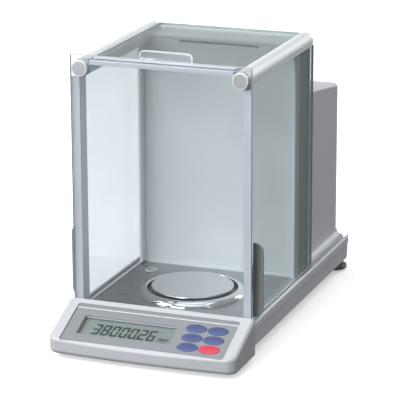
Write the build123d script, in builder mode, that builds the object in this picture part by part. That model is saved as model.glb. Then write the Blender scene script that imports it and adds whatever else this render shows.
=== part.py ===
"""Analytical balance with a sliding-door glass chamber, in millimetres.

Frame: +Z up, X across (the keypad side is +X), Y from the front (console) to the rear.
Origin: centre of the footprint, on the surface that the feet stand on.
"""
from build123d import *
import os

os.makedirs("parts", exist_ok=True)

# ---------------------------------------------------------------- driving dimensions
DEPTH = 421.0                  # console front to base rear
FRONT = -DEPTH / 2             # y of the console front; other places are measured from it
REAR = DEPTH / 2

BASE_HALF = 103.4              # half width of the lower case
BASE_START = FRONT + 66.5
BASE_BOTTOM = 10.7
DECK_TOP = 36.0
LIP_TOP = 39.6
WALL = 3.0
CHANNEL = (95.7, 100.1, 35.0)  # inner side, outer side and floor of a door channel

CONSOLE_HALF = 107.5
CONSOLE_BOTTOM = 4.8
SLOPE_FOOT = (3.8, 22.4)       # front edge of the sloped top: from the front, height
SLOPE_HEAD = (65.8, 47.8)      # rear edge of the sloped top

PANE = 3.0                     # glass thickness
PANE_FRONT = FRONT + 67.4
PANE_BACK = PANE_FRONT + PANE
PANE_HALF = 102.5
PANE_TOP = 320.5

ROD_X, ROD_Z, ROD_R = 90.8, 306.2, 9.8
ROD_END = FRONT + 279.0

DOOR_IN, DOOR_OUT = 96.3, 99.3          # side door glass, distance from the middle
DOOR_START, DOOR_END = FRONT + 74.0, FRONT + 286.0
DOOR_LOW, DOOR_HIGH = 35.4, 301.4
ROOF_GLASS = (310.5, 313.5)             # underside and top of the roof glass

BACK_Y = FRONT + 248.0                  # front face of the rear panel
FRAME_END = FRONT + 286.0               # back of the rear frame
HOUSING_HALF = 88.4
HOUSING_REAR = FRONT + 417.9
HOUSING_TOP = (246.4, 227.3)            # height at the front and at the rear

PAN_Y, PAN_R, PAN_TOP = FRONT + 161.3, 46.4, 45.4
RING_R, FLOOR_TOP = 60.2, 37.0

FOOT_X, FOOT_Y, FOOT_R = 90.5, FRONT + 404.9, 14.2

CELL_FRONT = FRONT + 305.0              # front of the load hanger
PIVOT_Y, PIVOT_Z = FRONT + 333.0, 158.0
COIL_Y = FRONT + 380.0
LEVEL_X, LEVEL_Y = -72.5, FRONT + 219.0   # bubble level


def save(build, name):
    """Labels a finished sub-part and writes its STEP file."""
    build.part.label = name
    export_step(build.part, f"parts/{name}.step")


def block(x0, x1, y0, y1, z0, z1, mode=Mode.ADD):
    """A box between two corners, inside the running BuildPart."""
    with Locations(((x0 + x1) / 2, (y0 + y1) / 2, (z0 + z1) / 2)):
        return Box(x1 - x0, y1 - y0, z1 - z0, mode=mode)


def upright(x, y, radius, z0, z1, mode=Mode.ADD):
    """A vertical cylinder, inside the running BuildPart."""
    with Locations((x, y, (z0 + z1) / 2)):
        return Cylinder(radius, z1 - z0, mode=mode)


def lengthwise(x, z, radius, y0, y1, mode=Mode.ADD):
    """A cylinder along Y, inside the running BuildPart."""
    with Locations(Location((x, (y0 + y1) / 2, z), (90, 0, 0))):
        return Cylinder(radius, y1 - y0, mode=mode)


# ---------------------------------------------------------------- lower case
# One moulding: a deck with side walls, and along each side a lip, a door channel and a ledge.
side_outline = [
    (0, BASE_BOTTOM), (100.6, BASE_BOTTOM), (101.7, 29.4), (101.0, 30.0), (BASE_HALF, 31.2),
    (BASE_HALF, 38.6), (102.6, LIP_TOP), (CHANNEL[1], LIP_TOP), (CHANNEL[1], CHANNEL[2]),
    (CHANNEL[0], CHANNEL[2]), (CHANNEL[0], 38.2), (93.4, 38.2), (93.4, DECK_TOP), (0, DECK_TOP),
]
SLOT_HALF, SLOT_Y = 27.0, (FRONT + 300.0, FRONT + 322.0)   # deck slot for the load hanger
with BuildPart() as base_casting:
    with BuildSketch(Plane.XZ.offset(-REAR)):
        with BuildLine():
            Polyline(*side_outline, close=True)
        make_face()
        mirror(about=Plane.YZ)
    extrude(amount=REAR - BASE_START)
    rear_corners = base_casting.edges().filter_by(Axis.Z).group_by(Axis.Y)[-1]
    fillet(rear_corners.filter_by(lambda edge: abs(edge.center().X) > 101), radius=5)
    block(-98.6, 98.6, BASE_START + WALL, REAR - WALL, BASE_BOTTOM - 1, 32.0, Mode.SUBTRACT)
    # the front pane and its posts stand where the rails stop, and each lip ramps down to them
    block(-110, 110, BASE_START - 1, FRONT + 73.2, DECK_TOP, 50, Mode.SUBTRACT)
    with BuildSketch(Plane.YZ.offset(-110)):
        with BuildLine():
            ramp = Spline(
                (FRONT + 73, 36.4), (FRONT + 80, 37.0), (FRONT + 92, 37.6), (FRONT + 108, LIP_TOP))
            Polyline(ramp @ 1, (FRONT + 108, 45), (FRONT + 73, 45), ramp @ 0)
        make_face()
    extrude(amount=220, mode=Mode.SUBTRACT)
    upright(0, PAN_Y, 15, 20, 45, Mode.SUBTRACT)
    upright(LEVEL_X, LEVEL_Y, 6.2, 20, 45, Mode.SUBTRACT)
    block(-SLOT_HALF, SLOT_HALF, *SLOT_Y, 20, 45, Mode.SUBTRACT)
    for side in (-1, 1):
        upright(side * FOOT_X, FOOT_Y, 8, 12.6, 32)
        upright(side * FOOT_X, FOOT_Y, 3.25, 10, 31, Mode.SUBTRACT)
save(base_casting, "base_casting")

SCREW_PLACES = [(x, FRONT + y) for x in (-92, 92) for y in (90, 230, 370)]
with BuildPart() as bottom_plates:
    block(-98.4, 98.4, BASE_START + WALL + 0.2, REAR - WALL - 0.2, BASE_BOTTOM, BASE_BOTTOM + 1.5)
    fillet(bottom_plates.edges().filter_by(Axis.Z), radius=4)
    for side in (-1, 1):
        upright(side * FOOT_X, FOOT_Y, 6, 5, 15, Mode.SUBTRACT)
    upright(0, PAN_Y, 9.2, 5, 15, Mode.SUBTRACT)
    with Locations(*[(x, y, 0) for x, y in SCREW_PLACES]):
        Cylinder(1.7, 40, mode=Mode.SUBTRACT)
    with Locations(*[(0, FRONT + 230 + 8 * step, 0) for step in range(8)]):
        Box(60, 2.4, 40, mode=Mode.SUBTRACT)
    block(-102.3, 102.3, FRONT + 9.4, BASE_START - 0.2, CONSOLE_BOTTOM + 1.0, CONSOLE_BOTTOM + 2.2)
save(bottom_plates, "bottom_plates")

with BuildPart() as hook_cover:
    upright(0, PAN_Y, 9.0, BASE_BOTTOM - 0.4, BASE_BOTTOM + 1.5)
    upright(0, PAN_Y, 10.4, BASE_BOTTOM - 1.2, BASE_BOTTOM - 0.05)
    block(-6, 6, PAN_Y - 0.8, PAN_Y + 0.8, BASE_BOTTOM - 1.3, BASE_BOTTOM - 0.7, Mode.SUBTRACT)
save(hook_cover, "hook_cover")

with BuildPart() as base_screws:
    for x, y in SCREW_PLACES:
        upright(x, y, 1.45, BASE_BOTTOM - 0.1, BASE_BOTTOM + 9)
        upright(x, y, 2.9, BASE_BOTTOM - 1.8, BASE_BOTTOM)
        block(x - 1.9, x + 1.9, y - 0.35, y + 0.35, BASE_BOTTOM - 1.9, BASE_BOTTOM - 0.9, Mode.SUBTRACT)
        block(x - 0.35, x + 0.35, y - 1.9, y + 1.9, BASE_BOTTOM - 1.9, BASE_BOTTOM - 0.9, Mode.SUBTRACT)
save(base_screws, "base_screws")

# ---------------------------------------------------------------- console
SLOPE = Vector(0, SLOPE_HEAD[0] - SLOPE_FOOT[0], SLOPE_HEAD[1] - SLOPE_FOOT[1])
FACE = Plane(
    origin=(0, FRONT + SLOPE_FOOT[0], SLOPE_FOOT[1]),
    x_dir=(1, 0, 0),
    z_dir=Vector(0, -SLOPE.Z, SLOPE.Y),
)
OVERLAY_SIZE, OVERLAY_MID = (187.0, 60.5), (0.0, 30.2)
WINDOW_SIZE, WINDOW_MID = (107.6, 29.5), (-25.6, 28.6)
KEY_ROWS, KEY_COLUMNS = (43.0, 28.0, 13.0), (49.2, 73.8)
KEY_RADII, KEY_GAP = (11.7, 6.7), 0.3
RECESS = 2.0                    # depth of the overlay's seat under the bezel
SKIN = 2.6                      # wall under the overlay
WINDOW_BED = RECESS + SKIN
BOARD_TOP = 10.0                # depth of the display board's upper side
key_places = [(column, row) for row in KEY_ROWS for column in KEY_COLUMNS]

with BuildPart() as console_housing:
    # plan outline with a slightly bowed front, cut to the side outline
    with BuildSketch(Plane.XY.offset(CONSOLE_BOTTOM)):
        with BuildLine():
            bow = ThreePointArc((-CONSOLE_HALF, FRONT + 4), (0, FRONT), (CONSOLE_HALF, FRONT + 4))
            Polyline(bow @ 1, (CONSOLE_HALF, BASE_START), (-CONSOLE_HALF, BASE_START), bow @ 0)
        make_face()
    extrude(amount=50)
    front_corners = console_housing.edges().filter_by(Axis.Z).group_by(Axis.Y)[0]
    fillet(front_corners, radius=11)
    with BuildSketch(FACE):
        Rectangle(400, 200)
    extrude(amount=60, mode=Mode.SUBTRACT)
    rim = console_housing.faces().sort_by(Axis.Z)[-1].edges()
    fillet(rim.filter_by(lambda edge: edge.center().Y < BASE_START - 0.5), radius=4.5)
    sole = console_housing.faces().sort_by(Axis.Z)[0].edges()
    fillet(sole.filter_by(lambda edge: edge.center().Y < BASE_START - 0.5), radius=5)
    # the cavity follows the sloped top, open at the back and underneath
    with BuildSketch(Plane.YZ.offset(-CONSOLE_HALF + 5)):
        with BuildLine():
            ceiling = FACE.offset(-WINDOW_BED)
            low, high = ceiling.from_local_coords((0, 9, 0)), ceiling.from_local_coords((0, 64, 0))
            Polyline((FRONT + 9, 0), (FRONT + 9, low.Z - 4), (low.Y, low.Z), (high.Y, high.Z),
                     (BASE_START + 1, high.Z), (BASE_START + 1, 0), close=True)
        make_face()
    extrude(amount=2 * CONSOLE_HALF - 10, mode=Mode.SUBTRACT)
    with BuildSketch(FACE.offset(-RECESS)):
        with Locations(OVERLAY_MID):
            RectangleRounded(OVERLAY_SIZE[0] + 0.6, OVERLAY_SIZE[1] + 0.6, 3)
    extrude(amount=RECESS + 1, mode=Mode.SUBTRACT)
    with BuildSketch(FACE):
        with Locations(WINDOW_MID):
            Rectangle(*WINDOW_SIZE)
        with Locations(*key_places):
            Ellipse(KEY_RADII[0] + KEY_GAP, KEY_RADII[1] + KEY_GAP)
    extrude(amount=-12, mode=Mode.SUBTRACT)
save(console_housing, "console_housing")

with BuildPart() as keypad_overlay:
    with BuildSketch(FACE.offset(-RECESS)):
        with Locations(OVERLAY_MID):
            RectangleRounded(*OVERLAY_SIZE, 2.7)
        with Locations(WINDOW_MID):
            Rectangle(*WINDOW_SIZE, mode=Mode.SUBTRACT)
        with Locations(*key_places):
            Ellipse(KEY_RADII[0] + KEY_GAP, KEY_RADII[1] + KEY_GAP, mode=Mode.SUBTRACT)
    extrude(amount=0.8)
save(keypad_overlay, "keypad_overlay")

with BuildPart() as lcd_window:
    with BuildSketch(FACE.offset(-WINDOW_BED - 1.2)):
        with Locations(WINDOW_MID):
            Rectangle(WINDOW_SIZE[0] + 5, WINDOW_SIZE[1] + 5)
    extrude(amount=1.2)
save(lcd_window, "lcd_window")

with BuildPart() as lcd_module:
    with BuildSketch(FACE.offset(-BOARD_TOP)):
        with Locations(WINDOW_MID):
            Rectangle(WINDOW_SIZE[0] + 4, WINDOW_SIZE[1] + 4)
    extrude(amount=BOARD_TOP - WINDOW_BED - 1.3)
save(lcd_module, "lcd_module")

with BuildPart() as display_board:
    with BuildSketch(FACE.offset(-BOARD_TOP - 1.6)):
        with Locations((1.5, 27.5)):
            Rectangle(178, 46)
    extrude(amount=1.6)
    with BuildSketch(FACE.offset(-BOARD_TOP - 3.6)):
        with Locations(*[(x, 40) for x in (-70, -45, -15, 15, 40, 62)]):
            Rectangle(12, 8)
    extrude(amount=2.0)
save(display_board, "display_board")

KEY_TOP, KEY_BOTTOM = 0.6, 3.7      # depths of a key's upper and lower faces
KEY_NAMES = ("upper_left", "upper_right", "middle_left", "middle_right", "lower_left", "lower_right")
for key_name, place in zip(KEY_NAMES, key_places):
    with BuildPart() as key:
        with BuildSketch(FACE.offset(-KEY_BOTTOM)):
            with Locations(place):
                Ellipse(*KEY_RADII)
        extrude(amount=KEY_BOTTOM - KEY_TOP)
        crown = key.faces().sort_by(Axis((0, 0, 0), FACE.z_dir))[-1].edges()
        fillet(crown, radius=0.35)
    save(key, f"key_{key_name}")

DOME_TOP = KEY_BOTTOM + 0.9
with BuildPart() as key_mat:
    with BuildSketch(FACE.offset(-BOARD_TOP)):
        with Locations((61.5, 28)):
            Rectangle(50, 45)
    extrude(amount=1.0)
    with BuildSketch(FACE.offset(-BOARD_TOP + 1.0)):
        with Locations(*key_places):
            Circle(4.6)
    extrude(amount=BOARD_TOP - 1.0 - DOME_TOP, taper=12)
save(key_mat, "key_mat")

# middle, width, length and height of the parts on the board
BOARD_PARTS = ((-60, 92, 14, 14, 3), (-30, 100, 18, 18, 3), (10, 95, 10, 24, 4),
               (45, 110, 16, 16, 9), (-55, 122, 22, 12, 6), (66, 90, 12, 16, 12))
with BuildPart() as main_board:
    block(-80, 80, FRONT + 76, FRONT + 138, 17, 18.6)
    for x, y, width, length, height in BOARD_PARTS:
        with Locations((x, FRONT + y, 18.6 + height / 2)):
            Box(width, length, height)
    for x in (-74, 74):
        for y in (80, 134):
            upright(x, FRONT + y, 2.4, 18.6, 32)
save(main_board, "main_board")

# ---------------------------------------------------------------- chamber floor, ring and level
with BuildPart() as chamber_floor:
    block(-93.1, 93.1, FRONT + 73.4, FRONT + 246.4, DECK_TOP, FLOOR_TOP)
    upright(0, PAN_Y, 15, 30, 45, Mode.SUBTRACT)
    upright(LEVEL_X, LEVEL_Y, 6.2, 30, 45, Mode.SUBTRACT)
save(chamber_floor, "chamber_floor")

with BuildPart() as draught_ring:
    with BuildSketch(Plane.XZ.offset(-PAN_Y)):
        with BuildLine():
            Polyline((RING_R, FLOOR_TOP), (RING_R, FLOOR_TOP + 1.0), (54.0, 43.0), (52.0, 43.5),
                     (51.0, 43.0), (51.0, 42.0), (52.6, 41.8), (58.2, FLOOR_TOP), close=True)
        make_face()
    revolve(axis=Axis((0, PAN_Y, 0), (0, 0, 1)))
save(draught_ring, "draught_ring")

with BuildPart() as pan:
    with BuildSketch(Plane.XZ.offset(-PAN_Y)):
        with BuildLine():
            Polyline((0, PAN_TOP - 0.9), (0, PAN_TOP), (PAN_R - 0.7, PAN_TOP), (PAN_R, PAN_TOP - 0.7),
                     (PAN_R, 42.8), (PAN_R - 0.8, 42.8), (PAN_R - 0.8, PAN_TOP - 0.9), close=True)
        make_face()
    revolve(axis=Axis((0, PAN_Y, 0), (0, 0, 1)))
save(pan, "pan")

STUD_R = 5.0
with BuildPart() as pan_support:
    upright(0, PAN_Y, 30, 43.3, PAN_TOP - 0.9)
    upright(0, PAN_Y, 9, 38.6, 43.3)
    upright(0, PAN_Y, STUD_R, 38, 42.0, Mode.SUBTRACT)
save(pan_support, "pan_support")

with BuildPart() as level_body:
    upright(LEVEL_X, LEVEL_Y, 6.0, 32.8, FLOOR_TOP)
    upright(LEVEL_X, LEVEL_Y, 7.6, FLOOR_TOP, 38.0)
    fillet(level_body.edges().sort_by(Axis.Z)[-1], radius=0.4)
    upright(LEVEL_X, LEVEL_Y, 5.0, 34.0, 40, Mode.SUBTRACT)
save(level_body, "level_body")

with BuildPart() as level_vial:
    upright(LEVEL_X, LEVEL_Y, 4.95, 34.0, 37.6)
    fillet(level_vial.edges().sort_by(Axis.Z)[-1], radius=0.5)
save(level_vial, "level_vial")

# ---------------------------------------------------------------- front pane, posts and rail
TIE_R = 5.0                    # threaded neck of a cap, through the pane
with BuildPart() as front_glass:
    block(-PANE_HALF, PANE_HALF, PANE_FRONT, PANE_BACK, DECK_TOP, PANE_TOP)
    fillet(front_glass.edges().filter_by(Axis.Y).group_by(Axis.Z)[-1], radius=1.5)
    for side in (-1, 1):
        lengthwise(side * ROD_X, ROD_Z, TIE_R + 0.2, PANE_FRONT - 1, PANE_BACK + 1, Mode.SUBTRACT)
save(front_glass, "front_glass")

with BuildPart() as front_posts:
    block(93.0, 102.0, PANE_BACK, PANE_BACK + 1.6, 38.4, 296.0)
    block(93.0, 94.6, PANE_BACK, FRONT + 88.0, 38.4, 296.0)
    fillet(front_posts.edges().filter_by(Axis.Z).group_by(Axis.Y)[-1], radius=0.5)
    mirror(about=Plane.YZ)
save(front_posts, "front_posts")

with BuildPart() as front_top_rail:
    block(-81.2, 81.2, PANE_BACK, FRONT + 75.2, 309.8, 314.8)
    fillet(front_top_rail.edges().filter_by(Axis.X).group_by(Axis.Z)[-1], radius=0.8)
save(front_top_rail, "front_top_rail")

# ---------------------------------------------------------------- roof rods and their caps
ROD_START = FRONT + 74.0
FLUTES, FLUTE_R = 30, 0.45


def door_grooves():
    """Cuts the roof-glass groove and the side-door groove of the right rod."""
    block(75, 86.5, ROD_START - 0.6, FRONT + 300, ROOF_GLASS[0] - 0.4, ROOF_GLASS[1] + 0.4, Mode.SUBTRACT)
    block(DOOR_IN - 0.4, DOOR_OUT + 0.4, ROD_START - 0.6, FRONT + 300, 290, DOOR_HIGH + 0.5, Mode.SUBTRACT)


for name, side in (("left", -1), ("right", 1)):
    with BuildPart() as rod:
        with BuildSketch(Plane.XZ.offset(-ROD_START)):
            with Locations((ROD_X, ROD_Z)):
                Circle(ROD_R)
                with PolarLocations(ROD_R, FLUTES):
                    Circle(FLUTE_R, mode=Mode.SUBTRACT)
        extrude(amount=-(ROD_END - ROD_START))
        door_grooves()
        if side < 0:
            mirror(about=Plane.YZ, mode=Mode.REPLACE)
    save(rod, f"{name}_rod")

with BuildPart() as rod_caps:
    lengthwise(ROD_X, ROD_Z, 9.0, PANE_FRONT - 3.2, PANE_FRONT)
    chamfer(rod_caps.edges().group_by(Axis.Y)[0], length=0.5)
    lengthwise(ROD_X, ROD_Z, TIE_R, PANE_FRONT, PANE_BACK)
    lengthwise(ROD_X, ROD_Z, 9.4, PANE_BACK, PANE_BACK + 2.6)
    lengthwise(ROD_X, ROD_Z, 8.6, PANE_BACK + 2.6, ROD_START)
    block(80, 104, PANE_BACK - 0.01, PANE_BACK + 1.7, 290, 296.1, Mode.SUBTRACT)
    lengthwise(ROD_X, ROD_Z, 9.5, ROD_END, ROD_END + 1.8)
    chamfer(rod_caps.edges().group_by(Axis.Y)[-1], length=0.5)
    door_grooves()
    mirror(about=Plane.YZ)
save(rod_caps, "rod_caps")

# ---------------------------------------------------------------- rear frame of the chamber
VENT = (48.0, 301.0, 303.4)     # slot high in the rear panel: half length, bottom, top
with BuildPart() as rear_panel:
    block(-91.2, 91.2, BACK_Y, BACK_Y + 2.5, FLOOR_TOP, 306.0)
    block(-91.2, 91.2, BACK_Y - 1.4, BACK_Y, FLOOR_TOP, 39.6)
    block(-VENT[0], VENT[0], BACK_Y - 2, BACK_Y + 4, VENT[1], VENT[2], Mode.SUBTRACT)
    for side in (-1, 1):
        lengthwise(side * ROD_X, ROD_Z, ROD_R + 0.1, BACK_Y - 2, BACK_Y + 4, Mode.SUBTRACT)
save(rear_panel, "rear_panel")

TRIM_START = FRONT + 237.0
with BuildPart() as rear_trims:
    block(91.3, 94.6, TRIM_START, BACK_Y + 2.5, 38.4, 295.6)
    fillet(rear_trims.edges().filter_by(Axis.Z).group_by(Axis.Y)[0], radius=1.2)
    mirror(about=Plane.YZ)
save(rear_trims, "rear_trims")

with BuildPart() as rear_columns:
    block(91.6, 93.6, BACK_Y + 2.5, FRAME_END - 2, 38.4, 295.6)
    block(80.0, 93.6, FRAME_END - 4, FRAME_END - 2, 38.4, 295.6)
    mirror(about=Plane.YZ)
save(rear_columns, "rear_columns")

with BuildPart() as rear_frame_back:
    block(-95.2, 95.2, FRAME_END - 2, FRAME_END, 38.4, 306.0)
    block(-30, 30, FRAME_END - 3, FRAME_END + 1, 60, 120, Mode.SUBTRACT)
save(rear_frame_back, "rear_frame_back")

with BuildPart() as rear_top_cover:
    block(-81.2, 81.2, BACK_Y - 1.5, FRAME_END + 1.5, 306.0, 308.0)
    block(-81.2, 81.2, FRAME_END, FRAME_END + 1.5, 302.0, 309.0)
    block(-60, 60, BACK_Y + 6, BACK_Y + 12, 304.0, 306.0)
save(rear_top_cover, "rear_top_cover")

# ---------------------------------------------------------------- doors
HANDLE_LOW, HANDLE_HIGH, HANDLE_OUT = 44.5, 127.5, 111.0
with BuildPart() as right_door_glass:
    block(DOOR_IN, DOOR_OUT, DOOR_START, DOOR_END, DOOR_LOW, DOOR_HIGH)
save(right_door_glass, "right_door_glass")

with BuildPart() as left_door_glass:
    block(-DOOR_OUT, -DOOR_IN, DOOR_START, DOOR_END, DOOR_LOW, DOOR_HIGH)
save(left_door_glass, "left_door_glass")

for name, side in (("left", -1), ("right", 1)):
    with BuildPart() as handle:
        block(DOOR_OUT, DOOR_OUT + 1.8, FRONT + 83.2, FRONT + 92, HANDLE_LOW + 4, HANDLE_HIGH - 6)
        block(DOOR_OUT, HANDLE_OUT, FRONT + 82.2, FRONT + 84.6, HANDLE_LOW, HANDLE_HIGH)
        tip = handle.edges().filter_by(Axis.Y).filter_by(lambda edge: edge.center().X > HANDLE_OUT - 1)
        fillet(tip, radius=10)
        upright_edges = handle.edges().filter_by(Axis.Z)
        at_strip = upright_edges.filter_by(lambda edge: abs(edge.center().X - DOOR_OUT - 1.8) < 0.1)
        root = at_strip.filter_by(lambda edge: FRONT + 80 < edge.center().Y < FRONT + 86)
        fillet(root, radius=1.5)
        block(94.9, DOOR_IN, FRONT + 76, FRONT + 91, 70, 100)
        fillet(handle.edges().filter_by(Axis.X).filter_by(lambda edge: edge.center().X < DOOR_IN), radius=3)
        if side < 0:
            mirror(about=Plane.YZ, mode=Mode.REPLACE)
    save(handle, f"{name}_door_handle")

ROOF_HALF, ROOF_START = 86.0, FRONT + 75.6
with BuildPart() as top_door_glass:
    block(-ROOF_HALF, ROOF_HALF, ROOF_START, DOOR_END, *ROOF_GLASS)
save(top_door_glass, "top_door_glass")

TAB_HALF, TAB_TOP, TAB_Y = 30.0, 326.5, FRONT + 86.5
with BuildPart() as top_door_handle:
    block(-80, 80, ROOF_START, FRONT + 89.0, ROOF_GLASS[1], 316.2)
    fillet(top_door_handle.edges().filter_by(Axis.X).group_by(Axis.Z)[-1], radius=0.8)
    block(-TAB_HALF, TAB_HALF, TAB_Y - 1.2, TAB_Y + 1.2, 315.8, TAB_TOP)
    fillet(top_door_handle.edges().filter_by(Axis.Y).filter_by(
        lambda edge: edge.center().Z > TAB_TOP - 0.1), radius=6)
save(top_door_handle, "top_door_handle")

# ---------------------------------------------------------------- rear housing and connectors
SHELL = 2.6
PORT = (-62.0, 62.0, 50.0, 92.0)        # opening for the connector plate
LEDGE_HALF, LEDGE_TOP = 95.2, 41.0
with BuildPart() as rear_housing:
    with BuildSketch(Plane.YZ.offset(-HOUSING_HALF)):
        with BuildLine():
            Polyline((FRAME_END, DECK_TOP), (HOUSING_REAR, DECK_TOP), (HOUSING_REAR, HOUSING_TOP[1]),
                     (FRAME_END, HOUSING_TOP[0]), close=True)
        make_face()
    extrude(amount=2 * HOUSING_HALF)
    upper_edges = rear_housing.edges().filter_by(lambda edge: edge.center().Z > 130)
    fillet(upper_edges.filter_by(lambda edge: edge.center().Y > FRAME_END + 1), radius=5)
    with BuildSketch(Plane.XZ.offset(-HOUSING_REAR)):
        with BuildLine():
            sweep_in = RadiusArc((HOUSING_HALF, LEDGE_TOP + 6), (HOUSING_HALF + 6, LEDGE_TOP), -6)
            Polyline(sweep_in @ 1, (LEDGE_HALF, LEDGE_TOP), (LEDGE_HALF, 38.2), (93.3, 38.2),
                     (93.3, DECK_TOP), (80, DECK_TOP), (80, LEDGE_TOP + 6), sweep_in @ 0)
        make_face()
        mirror(about=Plane.YZ)
    extrude(amount=HOUSING_REAR - FRAME_END)
    with BuildSketch(Plane.YZ.offset(-HOUSING_HALF + SHELL)):
        with BuildLine():
            Polyline((FRAME_END - 1, DECK_TOP - 1), (HOUSING_REAR - SHELL, DECK_TOP - 1),
                     (HOUSING_REAR - SHELL, HOUSING_TOP[1] - SHELL),
                     (FRAME_END - 1, HOUSING_TOP[0] - SHELL), close=True)
        make_face()
    extrude(amount=2 * (HOUSING_HALF - SHELL), mode=Mode.SUBTRACT)
    block(PORT[0], PORT[1], HOUSING_REAR - 6, HOUSING_REAR + 1, PORT[2], PORT[3], Mode.SUBTRACT)
    with Locations(*[(12 * step, HOUSING_REAR, 200) for step in range(-4, 5)]):
        Box(4, 20, 16, mode=Mode.SUBTRACT)
save(rear_housing, "rear_housing")

PLATE_Y = HOUSING_REAR - SHELL - 1.6
with BuildPart() as connector_plate:
    block(PORT[0] - 3, PORT[1] + 3, PLATE_Y, PLATE_Y + 1.6, PORT[2] - 3, PORT[3] + 3)
    lengthwise(-40, 70, 5.2, PLATE_Y - 1, PLATE_Y + 3, Mode.SUBTRACT)
    block(-15, 35, PLATE_Y - 1, PLATE_Y + 3, 64, 76, Mode.SUBTRACT)
    lengthwise(50, 70, 2.2, PLATE_Y - 1, PLATE_Y + 3, Mode.SUBTRACT)
save(connector_plate, "connector_plate")

with BuildPart() as dc_inlet:
    lengthwise(-40, 70, 5.0, PLATE_Y - 9, PLATE_Y + 4)
    lengthwise(-40, 70, 6.6, PLATE_Y + 1.6, PLATE_Y + 3)
    lengthwise(-40, 70, 2.8, PLATE_Y - 6, PLATE_Y + 5, Mode.SUBTRACT)
    lengthwise(-40, 70, 1.0, PLATE_Y - 7, PLATE_Y + 3)
save(dc_inlet, "dc_inlet")

with BuildPart() as serial_connector:
    block(-14.8, 34.8, PLATE_Y - 7, PLATE_Y + 1.6, 64.2, 75.8)
    with BuildSketch(Plane.XZ.offset(-PLATE_Y - 1.6)):
        with Locations((10, 70)):
            Trapezoid(38.0, 8.4, 80, rotation=180)
    extrude(amount=-4.6)
    with BuildSketch(Plane.XZ.offset(-PLATE_Y - 6.2)):
        with Locations([(10 + 2.7 * step, 71.4) for step in range(-6, 7)]):
            Circle(0.6)
        with Locations([(10 + 2.7 * (step + 0.5), 68.6) for step in range(-6, 6)]):
            Circle(0.6)
    extrude(amount=4.0, mode=Mode.SUBTRACT)
    block(-14.8, 34.8, PLATE_Y + 1.6, PLATE_Y + 2.4, 63.6, 76.4)
    for x in (-12, 32):
        lengthwise(x, 70, 2.4, PLATE_Y + 2.4, PLATE_Y + 6.0)
save(serial_connector, "serial_connector")

with BuildPart() as ground_terminal:
    lengthwise(50, 70, 2.0, PLATE_Y - 6, PLATE_Y + 5.6)
    lengthwise(50, 70, 4.4, PLATE_Y + 1.6, PLATE_Y + 3.4)
    lengthwise(50, 70, 3.6, PLATE_Y - 3, PLATE_Y)
save(ground_terminal, "ground_terminal")

# ---------------------------------------------------------------- weigh cell
with BuildPart() as cell_frame:
    block(-40, 40, FRONT + 324, FRONT + 412, DECK_TOP, 44)
    block(-30, 30, FRONT + 345, FRONT + 357, 44, 150)
    block(-9, 9, FRONT + 329, FRONT + 345, 142, 150)
    for x in (-7.5, 7.5):
        block(x - 1.5, x + 1.5, FRONT + 329, FRONT + 337, 150, 164)
    for z in (64, 134):
        block(-24, 24, FRONT + 316.6, FRONT + 345, z, z + 1.2)
save(cell_frame, "cell_frame")

with BuildPart() as load_arm:
    block(-12, 12, FRONT + 150, CELL_FRONT + 11, 20, 29)
    upright(0, PAN_Y, STUD_R - 0.05, 29, 41.9)
    with Locations(*[(0, FRONT + y, 24) for y in (190, 215, 240, 265)]):
        Box(12, 15, 20, mode=Mode.SUBTRACT)
save(load_arm, "load_arm")

with BuildPart() as load_hanger:
    block(-22, 22, CELL_FRONT, CELL_FRONT + 11, 29, 150)
    block(-12, 12, CELL_FRONT - 1, CELL_FRONT + 12, 40, 128, Mode.SUBTRACT)
    block(-5, 5, CELL_FRONT + 2, CELL_FRONT + 9, 150, 153.6)
    for x in (-18, 18):
        block(x - 4, x + 4, CELL_FRONT + 2, CELL_FRONT + 9, 150, 172)
save(load_hanger, "load_hanger")

with BuildPart() as lever:
    block(-5, 5, CELL_FRONT + 3, COIL_Y + 6, 155, 161)
    with Locations((0, PIVOT_Y, PIVOT_Z)):
        Cylinder(1.5, 11.6, rotation=(0, 90, 0))
    upright(0, COIL_Y, 4, 126, 155)
    upright(0, COIL_Y, 13.6, 124, 126.5)
    block(-3, 3, COIL_Y + 6, COIL_Y + 19, 157, 159)
save(lever, "lever")

with BuildPart() as coil:
    upright(0, COIL_Y, 13.6, 104, 124)
    upright(0, COIL_Y, 11.6, 100, 130, Mode.SUBTRACT)
save(coil, "coil")

with BuildPart() as magnet:
    upright(0, COIL_Y, 20, 44, 116)
    upright(0, COIL_Y, 15.4, 90, 120, Mode.SUBTRACT)
    upright(0, COIL_Y, 9.6, 88, 116)
save(magnet, "magnet")

with BuildPart() as position_sensor:
    block(-8, 8, COIL_Y + 13, COIL_Y + 25.2, 142, 150)
    block(-8, -4.5, COIL_Y + 13, COIL_Y + 25.2, 150, 166)
    block(4.5, 8, COIL_Y + 13, COIL_Y + 25.2, 150, 166)
    block(-8, 8, COIL_Y + 21.5, COIL_Y + 25.2, 44, 142)
save(position_sensor, "position_sensor")

# ---------------------------------------------------------------- built-in calibration weight
WEIGHT_Y, WEIGHT_Z = CELL_FRONT + 5.5, 187.5
LIFT = 2.5
with BuildPart() as calibration_weight:
    with Locations(Location((0, WEIGHT_Y, WEIGHT_Z), (0, 90, 0))):
        Cylinder(11.5, 50)
        Cylinder(3.0, 70)
save(calibration_weight, "calibration_weight")

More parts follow.
